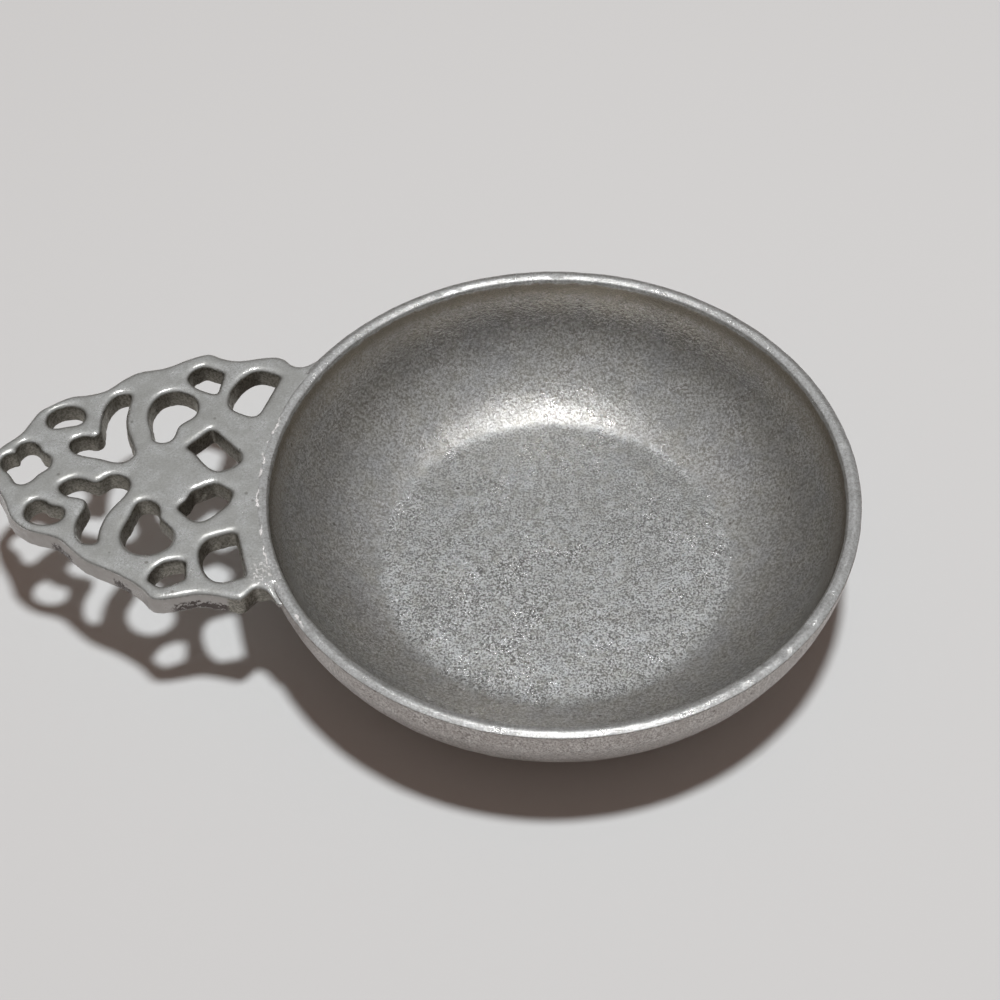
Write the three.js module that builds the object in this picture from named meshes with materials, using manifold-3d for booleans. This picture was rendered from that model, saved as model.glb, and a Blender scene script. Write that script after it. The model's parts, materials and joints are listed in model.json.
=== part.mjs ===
// Porringer: a shallow cast metal bowl with one flat pierced handle, level with the rim.
// Millimetres, +Z up. The origin is on the bowl's axis, in the face that the bowl rests on.
// The handle points along -X.
import * as THREE from "three";
import { mergeGeometries, mergeVertices } from "three/addons/utils/BufferGeometryUtils.js";
import Module from "manifold-3d";

const wasm = await Module();
wasm.setup();

// Bowl
const rimRadius = 66.7;
const rimWidth = 2.9;
const rimRound = 0.8;
const bowlHeight = 29.6;
const floorThickness = 2.5;
const floorRadius = 39.9;
const baseRadius = 42;
const innerFootSlope = THREE.MathUtils.degToRad(14);
const outerFootSlope = THREE.MathUtils.degToRad(16);

// Handle
const handleReach = 60.3; // from the rim to the tip
const handleWidth = 71.5;
const handleThickness = 5.4;
const handleRound = 0.9; // round along the upper edges
const handleRoundHeight = 1.1;

// Run of solder under the handle, in the corner that it makes with the bowl
const solderLeg = 3.6;
const solderEdge = 0.5;
const solderEndMargin = 2.5; // how far it stops short of the neck's sides

const jointGap = 0.3;

// Faces per round
const bowlSides = 72;
const wallSteps = 9;
const rimSteps = 3;
const roundSteps = 2;
const solderSteps = 4;
const solderTurns = 12;
const pointsPerStretch = 3;

// The pierced pattern as it was drawn: each point is [out from the rim, to the side], and each
// run is a smooth curve through its points. Runs of one outline meet in corners.
const upperNeck = [-5.9, 32.4];
const lowerNeck = [-4.4, -31.5];
const upperFilletEnd = [-9.9, 35.3];
const lowerFilletEnd = [-9.6, -35.4];
const upperEdge = [
  upperFilletEnd, [-8.3, 33.7], [-7.1, 32.6], upperNeck, [-3.7, 33.1], [-2.7, 34.2], [-0.3, 35.3],
  [3.7, 34.8], [8.9, 33.6], [12.7, 34.3], [15.7, 35.5], [19.7, 34], [25.7, 30.5], [31.6, 28.9],
  [34.9, 26.3], [38, 22.9], [41.5, 21.5], [45.8, 20.6], [49.1, 18.4], [52.3, 15.6], [53.5, 12.7],
  [55.2, 8.7], [58.8, 4.5], [60.3, 0],
];
const lowerEdge = [
  [60.3, 0], [58.7, -4.6], [54.5, -11], [52.1, -15.4], [47.6, -18.6], [40.8, -20.4], [37.7, -23],
  [33.3, -26.3], [26.1, -29.3], [20.6, -32.6], [17.2, -35.6], [12, -34.9], [7.5, -33.7],
  [1.2, -34.5], [-1.6, -34.8], [-3.1, -33.2], lowerNeck, [-6.2, -31.9], [-8.3, -33.7],
  lowerFilletEnd,
];
const insideBowl = [
  [lowerFilletEnd, [-16, -35]],
  [[-16, -35], [-16, 35]],
  [[-16, 35], upperFilletEnd],
];
const piercings = {
  upperRimHole: [
    [[-1.6, 29], [1.1, 30], [3.6, 30.4], [5.8, 29.3], [8, 26.4], [9.1, 22.6], [8.3, 19.1], [5, 17.3],
      [2.8, 16.8], [1.7, 18]],
    [[1.7, 18], [-1.6, 29]],
  ],
  lowerRimHole: [
    [[-1.6, -28.2], [1.2, -29.3], [4, -29.9], [6.3, -28.6], [8.4, -25.2], [9.1, -21.6], [8.1, -19.1],
      [5.3, -17.8], [2.2, -16.6]],
    [[2.2, -16.6], [-1.6, -28.2]],
  ],
  upperSideHole: [
    [[11.7, 29.6], [16.4, 31.2]],
    [[16.4, 31.2], [18.8, 29.4], [19.5, 27.2]],
    [[19.5, 27.2], [17.5, 25], [15.1, 23.9], [12.3, 23]],
    [[12.3, 23], [11.7, 29.6]],
  ],
  lowerSideHole: [
    [[12, -24.9], [14.3, -25.2], [16.6, -26.1], [18.3, -28.1], [19.1, -30.2]],
    [[19.1, -30.2], [16, -32.1]],
    [[16, -32.1], [11.4, -29.9]],
    [[11.4, -29.9], [12, -24.9]],
  ],
  upperDiamond: [
    [[11.7, 12.4], [4.3, 5.4]],
    [[4.3, 5.4], [4.2, 3.4], [6.3, 1.4], [8.5, 0.4], [10.8, 1.5], [12.7, 3.4], [14.7, 5.6], [16.6, 6.8]],
    [[16.6, 6.8], [11.7, 12.4]],
  ],
  lowerDiamond: [
    [[8.7, -3.2], [4.6, -5.4]],
    [[4.6, -5.4], [5.2, -8.6], [6.9, -11], [9.4, -13.5], [11.1, -14], [12.8, -13.1], [15.9, -10.4]],
    [[15.9, -10.4], [14.1, -8.5], [13.4, -5.9]],
    [[13.4, -5.9], [8.7, -3.2]],
  ],
  upperKeyhole: [
    [[16.1, 18], [16.7, 20.6], [18.8, 22.4], [21.5, 23.1], [24.1, 22.4], [25.9, 20.6], [26.7, 17.8],
      [26.3, 14.3], [25, 11.1], [24.3, 8.9], [22.8, 8], [20.7, 8.8], [20, 10.9], [19.8, 12.7],
      [18.5, 14.3], [16.7, 15.9], [16.1, 18]],
  ],
  lowerKeyhole: [
    [[19.7, -13.6], [19.9, -11.4], [21, -9.6], [22.9, -9], [24.7, -9.7], [25.4, -11.6], [25.9, -14.2]],
    [[25.9, -14.2], [26.8, -17.2], [26.7, -19.4], [25.4, -21.7], [23.2, -23.2], [20.6, -23.6],
      [17.9, -22.8], [16.1, -21], [15.5, -18.6], [16.4, -16.7], [19.7, -13.6]],
  ],
  upperLeaf: [
    [[31.9, 22], [33.5, 21.9], [35.2, 21.1], [36.5, 18.8], [37.1, 15.7], [36.8, 12.1], [36.6, 9.8],
      [37.6, 8.5], [39.9, 8.6], [41.9, 7.9], [42.9, 6.5], [42.5, 5.1], [40.9, 3.8], [38, 3.1],
      [34.8, 2.6], [32.8, 2], [30.8, 1.9], [29, 2.8], [28.3, 4.4], [29, 6.6], [30.2, 9.2], [31.3, 11.7],
      [32, 14.8]],
    [[32, 14.8], [31.9, 22]],
  ],
  lowerLeaf: [
    [[30.5, -2.1], [32.6, -2.4], [34, -3.8], [35.2, -4.5], [36.8, -4.1], [39.2, -3.3], [41.3, -4.1],
      [43, -5.9], [42.2, -7.3], [40.6, -8.3], [38.2, -8.6], [36.3, -9.4], [36, -11.4], [36.9, -14.3],
      [36.9, -17.3], [36, -19.9], [34.4, -21.2], [31.9, -21.1]],
    [[31.9, -21.1], [32.2, -18.2], [32, -16.1], [31.3, -13], [29.7, -9.9], [28.2, -7.2], [27.6, -5],
      [28.5, -3], [30.5, -2.1]],
  ],
  upperBean: [
    [[45, 17.4], [47.7, 16.6], [49.5, 14.7], [49.5, 12.7], [48.4, 11.3], [47, 10.9], [45.5, 11.5],
      [43.7, 11.9], [42.1, 12.4], [41.3, 13.9], [41.8, 15.9], [43.2, 17.1], [45, 17.4]],
  ],
  lowerBean: [
    [[46.8, -10], [48.6, -11.1], [49.2, -13.2], [48.6, -14.9], [47, -16], [44.6, -16.5], [42.2, -16],
      [40.9, -14.8], [40.7, -13.1], [41.5, -11.8], [43, -11.5], [44.4, -11.3], [45.4, -10.4],
      [46.8, -10]],
  ],
  hangingHole: [
    [[54.5, 3.1], [54.8, 4.4]],
    [[54.8, 4.4], [53.8, 5.9], [52.2, 6.5], [50.6, 5.8], [49.7, 4.6], [49, 3.5]],
    [[49, 3.5], [47, 2.4], [46.5, 1], [46.8, -0.7], [48.7, -2.5]],
    [[48.7, -2.5], [50, -4.7], [51.6, -5.6], [53.2, -5], [54.7, -2.8], [56.7, -1.2], [57.4, 0.5],
      [57, 1.8], [55.9, 2.7]],
    [[55.9, 2.7], [54.5, 3.1]],
  ],
};
const drawnReach = Math.max(...upperEdge.map(([out]) => out));
const drawnWidth = Math.max(...upperEdge.map(([, side]) => side))
  - Math.min(...lowerEdge.map(([, side]) => side));

// Turns a closed three.js geometry into a solid that can be cut and joined.
function solidOf(geometry) {
  const bare = geometry.clone();
  bare.deleteAttribute("normal");
  bare.deleteAttribute("uv");
  const merged = mergeVertices(bare, 1e-4);
  return new wasm.Manifold(new wasm.Mesh({
    numProp: 3,
    vertProperties: Float32Array.from(merged.attributes.position.array),
    triVerts: Uint32Array.from(merged.index.array),
  }));
}

function geometryOf(solid) {
  const mesh = solid.getMesh();
  const geometry = new THREE.BufferGeometry();
  geometry.setAttribute("position", new THREE.Float32BufferAttribute(mesh.vertProperties, 3));
  geometry.setIndex(Array.from(mesh.triVerts));
  geometry.computeVertexNormals();
  return geometry;
}

// The arc that leaves start at the given slope and ends at end, as [radius, height].
function risingArc(start, end, startSlope) {
  const chordSlope = Math.atan2(end.y - start.y, end.x - start.x);
  const turn = 2 * (chordSlope - startSlope);
  const radius = start.distanceTo(end) / (2 * Math.sin(turn / 2));
  const centre = new THREE.Vector2(
    start.x - radius * Math.sin(startSlope),
    start.y + radius * Math.cos(startSlope),
  );
  return { centre, radius, startSlope, turn };
}

function pointsAlong({ centre, radius, startSlope, turn }, steps) {
  return Array.from({ length: steps + 1 }, (_, i) => {
    const slope = startSlope + turn * i / steps;
    return new THREE.Vector2(centre.x + radius * Math.sin(slope), centre.y - radius * Math.cos(slope));
  });
}

function radiusAt({ centre, radius }, height) {
  return centre.x + Math.sqrt(radius ** 2 - (centre.y - height) ** 2);
}

const outerWall = risingArc(
  new THREE.Vector2(baseRadius, 0),
  new THREE.Vector2(rimRadius, bowlHeight - rimRound),
  outerFootSlope,
);
const innerWall = risingArc(
  new THREE.Vector2(floorRadius, floorThickness),
  new THREE.Vector2(rimRadius - rimWidth, bowlHeight - rimRound),
  innerFootSlope,
);

// Quarter round between two points of the rim, bulging up and away from its middle.
function rimCorner(centreRadius, fromAngle) {
  return Array.from({ length: rimSteps - 1 }, (_, i) => {
    const angle = fromAngle + (i + 1) / rimSteps * Math.PI / 2;
    return new THREE.Vector2(
      centreRadius + rimRound * Math.cos(angle),
      bowlHeight - rimRound + rimRound * Math.sin(angle),
    );
  });
}

function turned(profile) {
  return new THREE.LatheGeometry(profile, bowlSides).rotateX(Math.PI / 2);
}

function makeBowl() {
  const outerEdge = rimRadius - rimRound;
  const innerEdge = rimRadius - rimWidth + rimRound;
  const profile = [
    new THREE.Vector2(0, 0),
    ...pointsAlong(outerWall, wallSteps),
    ...rimCorner(outerEdge, 0),
    new THREE.Vector2(outerEdge, bowlHeight),
    new THREE.Vector2(innerEdge, bowlHeight),
    ...rimCorner(innerEdge, Math.PI / 2),
    ...pointsAlong(innerWall, wallSteps).reverse(),
    new THREE.Vector2(0, floorThickness),
  ];
  return geometryOf(solidOf(turned(profile)));
}

// The bowl's outer form made larger all round by the gap, filled in, and carried up past the rim.
function bowlForm(gap) {
  const wall = pointsAlong(outerWall, wallSteps)
    .map((point) => new THREE.Vector2(point.x + gap, point.y));
  const foot = new THREE.Vector2(wall[0].x, -bowlHeight);
  const head = new THREE.Vector2(rimRadius + gap, 2 * bowlHeight);
  const profile = [
    new THREE.Vector2(0, foot.y), foot, ...wall, head, new THREE.Vector2(0, head.y),
  ];
  return solidOf(turned(profile));
}

// Places a drawn point: the rim is at -rimRadius, and the tip is handleReach beyond it.
function placed([out, side]) {
  return new THREE.Vector2(
    -rimRadius - out * handleReach / drawnReach,
    side * handleWidth / drawnWidth,
  );
}

function smoothRun(run) {
  const points = run.map(placed);
  if (points.length === 2) return points.slice(0, 1);
  const closed = points.length > 2 && points[0].equals(points.at(-1));
  const ends = closed ? points.slice(0, -1) : points;
  const curve = new THREE.CatmullRomCurve3(
    ends.map((point) => new THREE.Vector3(point.x, point.y, 0)), closed, "centripetal");
  const count = pointsPerStretch * (points.length - 1);
  return curve.getPoints(count).slice(0, -1).map((point) => new THREE.Vector2(point.x, point.y));
}

function outlineOf(runs) {
  return runs.flatMap(smoothRun);
}

function makeHandle() {
  const shape = new THREE.Shape(outlineOf([upperEdge, lowerEdge, ...insideBowl]));
  for (const runs of Object.values(piercings)) shape.holes.push(new THREE.Path(outlineOf(runs)));
  const underside = bowlHeight - handleThickness;
  const plate = new THREE.ExtrudeGeometry(shape, {
    depth: handleThickness - handleRoundHeight,
    bevelThickness: handleRoundHeight,
    bevelSize: handleRound,
    bevelOffset: -handleRound,
    bevelSegments: roundSteps,
  }).translate(0, 0, underside);
  const below = new THREE.BoxGeometry(4 * rimRadius, 4 * rimRadius, underside)
    .translate(-rimRadius, 0, underside / 2);
  return geometryOf(solidOf(plate).subtract(solidOf(below)).subtract(bowlForm(jointGap)));
}

// Turns a closed profile through part of a round, and closes its two ends.
function turnedSector(profile, firstAngle, span) {
  const section = new THREE.ShapeGeometry(new THREE.Shape(profile));
  const facing = (angle) => section.clone().rotateY(angle - Math.PI / 2);
  const firstEnd = facing(firstAngle);
  const lastEnd = facing(firstAngle + span);
  lastEnd.index.array.reverse();
  const side = new THREE.LatheGeometry([...profile, profile[0]], solderTurns, firstAngle, span);
  return mergeGeometries([side, firstEnd, lastEnd]).rotateX(Math.PI / 2);
}

function makeSolder() {
  const top = bowlHeight - handleThickness - jointGap;
  const foot = top - solderLeg;
  const wallSide = (height) => radiusAt(outerWall, height) + jointGap;
  const share = (i) => i / solderSteps;
  const inside = Array.from({ length: solderSteps + 1 }, (_, i) => {
    const height = top - solderLeg * share(i);
    return new THREE.Vector2(wallSide(height), height);
  });
  const reach = wallSide(top) + solderLeg;
  const footWidth = wallSide(foot) + solderEdge;
  const hollow = Array.from({ length: solderSteps + 1 }, (_, i) => {
    const angle = share(i) * Math.PI / 2;
    return new THREE.Vector2(
      reach - (reach - footWidth) * Math.cos(angle),
      top - solderEdge - (solderLeg - solderEdge) * (1 - Math.sin(angle)),
    );
  });
  const section = [...inside, ...hollow, new THREE.Vector2(reach, top)];
  const neckSide = Math.min(placed(upperNeck).y, -placed(lowerNeck).y) - solderEndMargin;
  const halfSpan = Math.asin(neckSide / reach);
  return turnedSector(section, -Math.PI / 2 - halfSpan, 2 * halfSpan);
}

function castMetal(color, roughness) {
  return new THREE.MeshStandardMaterial({ color, roughness, metalness: 1 });
}

function piece(name, geometry, material) {
  const mesh = new THREE.Mesh(geometry, material);
  mesh.name = name;
  return mesh;
}

const porringer = new THREE.Group();
porringer.add(
  piece("bowl", makeBowl(), castMetal(0x8f908c, 0.5)),
  piece("handle", makeHandle(), castMetal(0x9c9d99, 0.4)),
  piece("solder", makeSolder(), castMetal(0x86878a, 0.55)),
);
export default porringer;
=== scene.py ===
import json
import math

import bpy
from mathutils import Matrix, Quaternion, Vector
from mathutils.bvhtree import BVHTree


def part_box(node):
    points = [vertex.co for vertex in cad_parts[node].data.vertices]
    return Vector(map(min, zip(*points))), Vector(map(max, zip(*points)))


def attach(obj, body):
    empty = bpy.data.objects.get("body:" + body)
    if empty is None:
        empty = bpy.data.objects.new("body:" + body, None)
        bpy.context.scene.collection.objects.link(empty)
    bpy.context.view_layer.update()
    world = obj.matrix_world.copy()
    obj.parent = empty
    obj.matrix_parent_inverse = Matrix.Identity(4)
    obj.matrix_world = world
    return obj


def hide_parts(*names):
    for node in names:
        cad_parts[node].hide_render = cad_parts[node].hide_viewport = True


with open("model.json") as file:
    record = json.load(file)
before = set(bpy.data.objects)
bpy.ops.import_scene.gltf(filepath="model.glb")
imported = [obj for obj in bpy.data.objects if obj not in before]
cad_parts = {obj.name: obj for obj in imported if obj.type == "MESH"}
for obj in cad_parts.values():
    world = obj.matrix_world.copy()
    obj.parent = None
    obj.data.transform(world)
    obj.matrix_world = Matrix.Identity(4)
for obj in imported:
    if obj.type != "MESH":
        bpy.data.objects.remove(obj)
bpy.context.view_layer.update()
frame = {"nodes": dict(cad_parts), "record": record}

MM = 0.001
UP = Vector((0, 0, 1))

# Bowl
RIM_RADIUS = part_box("bowl")[1].x
BOWL_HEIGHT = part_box("bowl")[1].z
FLOOR_LEVEL = next(m["pos_m"][2] for m in frame["record"]["mounts"] if m["name"] == "bowl_floor")
RIM_WIDTH = 3.15 * MM
RIM_CROWN_RADIUS = 65.2 * MM  # where the rim is highest
RIM_CROWN_ROUND = 1.6 * MM
RIM_TILT = math.radians(19)  # of its two flanks
RIM_OUTER_FLANK = 0.75 * MM  # width of each flank, seen from above
RIM_INNER_FLANK = 0.6 * MM
RIM_EDGE_END = math.radians(82)  # tilt at which each edge of the rim meets its wall
RIM_FOOT = BOWL_HEIGHT - 1.7 * MM  # the rubbed metal of the rim ends about here
RIM_BLEND = 2 * MM  # height below it over which the rim's swells give way to the wall's
FLOOR_RADIUS = 39.9 * MM
FLOOR_CORNER = 0.8 * MM
BASE_RADIUS = 42 * MM
BASE_CORNER = 0.5 * MM
BASE_FLAT = 0.5 * MM  # the foot stays true up to this height
INNER_FOOT_SLOPE = math.radians(16.5)
OUTER_FOOT_SLOPE = math.radians(12.5)
CORNER_WEAR = 5 * MM  # how far to each side of the floor's corner the wear reaches
CORNER_WEAR_HEIGHT = 3 * MM
CORNER_WEAR_GROWTH = (-0.85, 0)  # from near the far side to the middle, in floor radii
RIM_NICKS = (  # angle in degrees, width and depth in millimetres
    (92.7, 1.4, 0.3), (74, 1.4, 0.2), (-33, 1.6, 0.3), (-41, 1.5, 0.3), (-25, 1.3, 0.2),
    (-52, 1.6, 0.2), (118, 1.3, 0.2), (12, 1.4, 0.22),
)
NICK_RADIUS = RIM_CROWN_RADIUS - 0.3 * MM
NICK_REACH = 1 * MM  # down from the rim's top
RIM_FLAT = 0.8 * MM  # how far the rim is out of round on its near side
RIM_FLAT_HEIGHTS = (BOWL_HEIGHT - 5 * MM, BOWL_HEIGHT - MM)  # it grows between these
BOWL_SIDES = 460
INNER_STEPS = 56
OUTER_STEPS = 38
ROUND_STEPS = 6
FLANK_STEPS = 3
CORNER_STEPS = 4
FLOOR_CUTS = 46
BASE_CUTS = 16
SHARP_EDGE = math.radians(50)
LEVEL_LEAST = 0.5  # a level face's normal rises by at least this
OUTSIDE_LEAN = 0.25  # a face that looks outwards by more than this is part of the outside
RIM_OUTSIDE_LEAN = 0.7  # and on the rim by more than this

# Ear
EAR_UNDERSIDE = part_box("handle")[0].z
EAR_THICKNESS = BOWL_HEIGHT - EAR_UNDERSIDE
EAR_TOP_DROP = 0.02 * MM
EAR_DRAFT = 0.16 * MM  # how far its upright faces lean out at the foot
EAR_DRAFT_DEPTHS = (0.2 * EAR_THICKNESS, EAR_THICKNESS)  # below the top, where the lean grows
EAR_ROUGH_DEPTHS = (0, 0.5 * EAR_THICKNESS)  # where the roughness of its walls grows
EAR_ROUNDED_DEPTHS = (0.6 * EAR_THICKNESS, 0.3 * EAR_THICKNESS)  # where its smoothing grows
EAR_WALL_RISE = (0.3, 0.8)  # how far a normal rises, in a wall at most and in a level face
EAR_VOXEL = 0.33 * MM
ROOT_REACH = 0.5 * MM  # the root's face lies within this of the rim
ROOT_FACING = -0.3  # and looks inwards by more than this
ROOT_DEPTH = 2.3 * MM  # how far it is sunk into the bowl
WEB_SIDE = 30 * MM  # past the neck, where the root's thin ends run along the rim
WEB_START = -62 * MM
WEB_END = -57.2 * MM
WEB_THINNING = 0.8 * EAR_THICKNESS
TIP_START = -60 * MM
TIP_DROP = 0.7 * MM
NOTCH = (-62.6 * MM, 35.2 * MM)  # middle of the round notch beside each end of the neck
NOTCH_EDGE = (6 * MM, 5 * MM)  # distances from it where its dark wall begins and is full
PIERCING_REACH = 20 * MM  # no piercing is wider
WALL_LEAST = 0.4  # a wall's normal is at least this long when seen from above

# Joint metal
SOLDER_VOXEL = 0.25 * MM

# Width and depth of the castings' swells, in millimetres
BOWL_WALL_SWELLS = ((9, 0.22), (3.2, 0.09))
BOWL_RIM_SWELLS = ((6, 0.2), (2.4, 0.12))
EAR_WALL_SWELLS = ((1.7, 0.32), (0.8, 0.16))
EAR_FACE_SWELLS = ((12, 0.3), (1.8, 0.04))
SOLDER_SWELLS = ((2.5, 0.25),)

# Rounds of smoothing
CORNER_SMOOTHING = 60
EAR_SMOOTHING = 8
EAR_TOP_SMOOTHING = 32
SOLDER_SMOOTHING = 6

# Places of the finishes
RIM_METAL_HEIGHTS = (RIM_FOOT + 0.5 * MM, RIM_FOOT + 1.3 * MM)  # where the rim's metal takes over
WALL_METAL_HEIGHTS = (FLOOR_LEVEL + 0.6 * MM, FLOOR_LEVEL + 1.4 * MM)
SHADE_HEIGHTS = (0.84 * BOWL_HEIGHT, RIM_FOOT)  # painted brown shade under the rim
# the band where the warm tint of the lamp's double reflection is painted
WARM_REFLECTION_HEIGHTS = (0.64 * BOWL_HEIGHT, 0.8 * BOWL_HEIGHT)
POLISH_HEIGHTS = (0.55 * BOWL_HEIGHT, 0.78 * BOWL_HEIGHT)
SMOOTHER_FLOOR = (-12 * MM, 30 * MM)  # towards the far side the floor's grain shows less
SCUFF_RADIUS = 65.6 * MM
SCUFF_STRAY = 1.5 * MM  # to each side
SCUFF_HALF_WIDTH = 0.26 * MM
SCUFF_EDGE = 0.12 * MM
SCUFF_PIECE = 5 * MM  # about the length of its unbroken pieces
SCUFF_WIDTH_CHANGE = 1.1 * MM  # about the length over which its width changes
SCUFF_X = (-48 * MM, -52 * MM)  # it fades in between these places
SCUFF_Y = (18 * MM, 15 * MM)
SCUFF_METALLIC = 0.45  # fresh scratches scatter light like a pale surface
SCRAPED_PATCH = (-61 * MM, -27.5 * MM, 0)
SCRAPED_EDGE = (6 * MM, 2 * MM)  # distances from its middle where it begins and is full
SCRAPED_SPECKLE = 0.7 * MM
BURRS = ((-73 * MM, 8 * MM), (-91.6 * MM, 2.4 * MM), (-106.4 * MM, 3 * MM))  # middle, half length
BURR_HEIGHTS = (BOWL_HEIGHT - 1.8 * MM, BOWL_HEIGHT - 4.2 * MM)  # they grow between these
BURR_Y = (-15 * MM, -18 * MM)
BURR_SIZE = 0.75 * MM
CRUST_SIZE = 0.5 * MM  # of the piercings' rough walls
SCRATCH_WAYS = (  # turn in radians, and where in the noise it is cut
    (0.5, (0.1, 0, 0)), (-0.9, (0, 0.2, 0)), (1.35, (0.3, 0.1, 0)),
)

# Bare metals, as the hollows and the ridges of the grain
FLOOR_METAL = ((0.2, 0.195, 0.185), (0.99, 1, 1))
WALL_METAL = ((0.33, 0.31, 0.28), (0.86, 0.855, 0.845))
RIM_METAL = ((0.6, 0.595, 0.58), (0.88, 0.885, 0.88))
OUTSIDE_METAL = ((0.23, 0.205, 0.19), (0.66, 0.625, 0.6))
EAR_METAL = ((0.64, 0.64, 0.615), (0.91, 0.915, 0.905))
PIERCING_CRUST = ((0.2, 0.19, 0.165), (0.4, 0.38, 0.335))

# Dark and light of the speckle over them
RIM_SPECKLE = ((0.4, 0.39, 0.37), (0.95, 0.95, 0.95))
OUTSIDE_SPECKLE = ((0.22, 0.2, 0.19), (0.74, 0.72, 0.7))
EAR_SPECKLE = ((0.45, 0.44, 0.41), (0.97, 0.98, 0.98))

# Films, wear and dirt, with painted shade under the rim and down the ear's sides, and a painted warm
# tint of a reflection
FROST = (0.8, 0.88, 1)
RUBBED_FLOOR = (0.56, 0.565, 0.56)
DULL_INSIDE = (0.42, 0.42, 0.405)
DULL_OUTSIDE = (0.44, 0.4, 0.38)
DULL_EAR = (0.58, 0.58, 0.55)
BLUISH = (0.47, 0.49, 0.55)
BROWNISH = (0.5, 0.48, 0.4)
WARM_REFLECTION_TINT = (0.66, 0.575, 0.47)
PAINTED_SHADE_UNDER_RIM = (0.27, 0.225, 0.165)
WEAR_LINES = (0.8, 0.8, 0.8)
SCRATCHED = (0.9, 0.9, 0.9)
FRESH_METAL = (0.95, 0.95, 0.95)
INSIDE_PITS = (0.16, 0.15, 0.14)
OUTSIDE_PITS = (0.2, 0.17, 0.16)
EAR_PITS = (0.25, 0.23, 0.21)
# painted shade down the ear's upright sides, which mirror the shaded floor
EAR_SIDES_PAINTED_SHADE = (0.33, 0.305, 0.29)
BURR_METAL = (0.1, 0.085, 0.08)
SOLDER_METAL = ((0.52, 0.52, 0.52), (0.4, 0.39, 0.37))  # clean and dull

# Roughness of each metal where it is clean and where it is dull, and depth of its relief
INSIDE_ROUGHNESS = (0.27, 0.32)
OUTSIDE_ROUGHNESS = (0.42, 0.5)
EAR_ROUGHNESS = (0.27, 0.36)
SOLDER_ROUGHNESS = (0.42, 0.58)
INSIDE_RELIEF = 0.3 * MM
OUTSIDE_RELIEF = 0.14 * MM
EAR_RELIEF = 0.08 * MM
SOLDER_RELIEF = 0.1 * MM

# Camera, as the photograph was taken
RIM_CENTRE = Vector((0, 0, BOWL_HEIGHT))
CAMERA_DISTANCE = 449.9 * MM
CAMERA_AZIMUTH = math.radians(1.94)
CAMERA_ELEVATION = math.radians(50.42)
CAMERA_PAN = math.radians(1.58)
CAMERA_TILT = math.radians(-0.48)
CAMERA_ROLL = math.radians(-0.79)
CAMERA_LENS = 73.58
CAMERA_SENSOR = 36
CAMERA_NEAREST = 0.01
CAMERA_FARTHEST = 20

# Floor
FLOOR_SIZE = 6
FLOOR_COLOUR = (0.63, 0.653, 0.662)
FLOOR_ROUGHNESS = 0.9
FLOOR_SHEEN = 0.1
FLOOR_FADE = (0.2, 1.9)  # metres from the bowl between which the floor's own glow grows
FLOOR_GLOW = 0.85

# Light
LAMP_PLACE = Vector((0.10, 0.03, 1.5))
LAMP_WIDTH = 0.17
LAMP_LEVELS = {"shine": 0.13, "shadow": 0.73}  # what each lamp alone makes of a white floor
FILL = (0.178, 0.12, 0.096)
BACKDROP = (0.62, 0.61, 0.605)
SKY = (  # height of the direction looked in, from 0 at the horizon to 1 overhead, and its colour
    (0.0, (0.06, 0.055, 0.05)), (0.17, (0.11, 0.105, 0.1)), (0.35, (0.28, 0.275, 0.27)),
    (0.6, (0.4, 0.4, 0.4)), (0.77, (0.48, 0.485, 0.49)), (1.0, (0.5, 0.5, 0.5)),
)
SKY_BLACK = (0, 0, 0)
SKY_DIM_HEIGHTS = (0.5, 0.1)  # the sky is dimmed from the first height down to the second
SKY_DIM_SIDES = (0.1, -0.7)  # and towards the camera's side
SKY_DIM_SHARE = 0.5


# Helpers

def deselect_all():
    if bpy.context.object and bpy.context.object.mode != "OBJECT":
        bpy.ops.object.mode_set(mode="OBJECT")
    bpy.ops.object.select_all(action="DESELECT")


def pick(piece):
    deselect_all()
    piece.select_set(True)
    bpy.context.view_layer.objects.active = piece


def edit(piece, select="SELECT"):
    pick(piece)
    bpy.ops.object.mode_set(mode="EDIT")
    bpy.ops.mesh.select_mode(type="VERT")
    bpy.ops.mesh.select_all(action=select)


def done():
    bpy.ops.object.mode_set(mode="OBJECT")


def select_faces(piece, wanted):
    """In edit mode, selects the faces for which wanted(centre, normal) is true."""
    edit(piece, "DESELECT")
    bpy.ops.mesh.select_mode(type="FACE")
    done()
    for face in piece.data.polygons:
        face.select = wanted(face.center, face.normal)
    bpy.ops.object.mode_set(mode="EDIT")


def apply_modifier(piece, kind, **settings):
    modifier = piece.modifiers.new(kind.title(), kind)
    for key, value in settings.items():
        setattr(modifier, key, value)
    pick(piece)
    bpy.ops.object.modifier_apply(modifier=modifier.name)


def smooth(piece, rounds, group=""):
    apply_modifier(piece, "SMOOTH", factor=0.5, iterations=rounds, vertex_group=group)


def displace(piece, depth, group, direction="NORMAL"):
    """Moves a vertex group by its weights times depth."""
    apply_modifier(piece, "DISPLACE", direction=direction, strength=depth, mid_level=0,
                   vertex_group=group)


def swell(piece, swells, group=""):
    """Moves the surface in and out by noises, each with bumps about as wide and deep as given."""
    for width, depth in swells:
        texture = bpy.data.textures.new(f"{piece.name} swell", "CLOUDS")
        texture.noise_scale = width * MM
        apply_modifier(piece, "DISPLACE", texture=texture, texture_coords="LOCAL",
                       strength=depth * MM, mid_level=0.5, vertex_group=group)


def weigh(piece, name, weight_of):
    """A vertex group whose weights come from weight_of(place, normal)."""
    group = piece.vertex_groups.new(name=name)
    for vertex in piece.data.vertices:
        weight = weight_of(vertex.co, vertex.normal)
        if weight > 0:
            group.add([vertex.index], min(weight, 1), "REPLACE")
    return name


def ramp(value, low, high):
    share = min(max((value - low) / (high - low), 0), 1)
    return share * share * (3 - 2 * share)


def axis_distance(place):
    return math.hypot(place.x, place.y)


# Bowl

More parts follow.
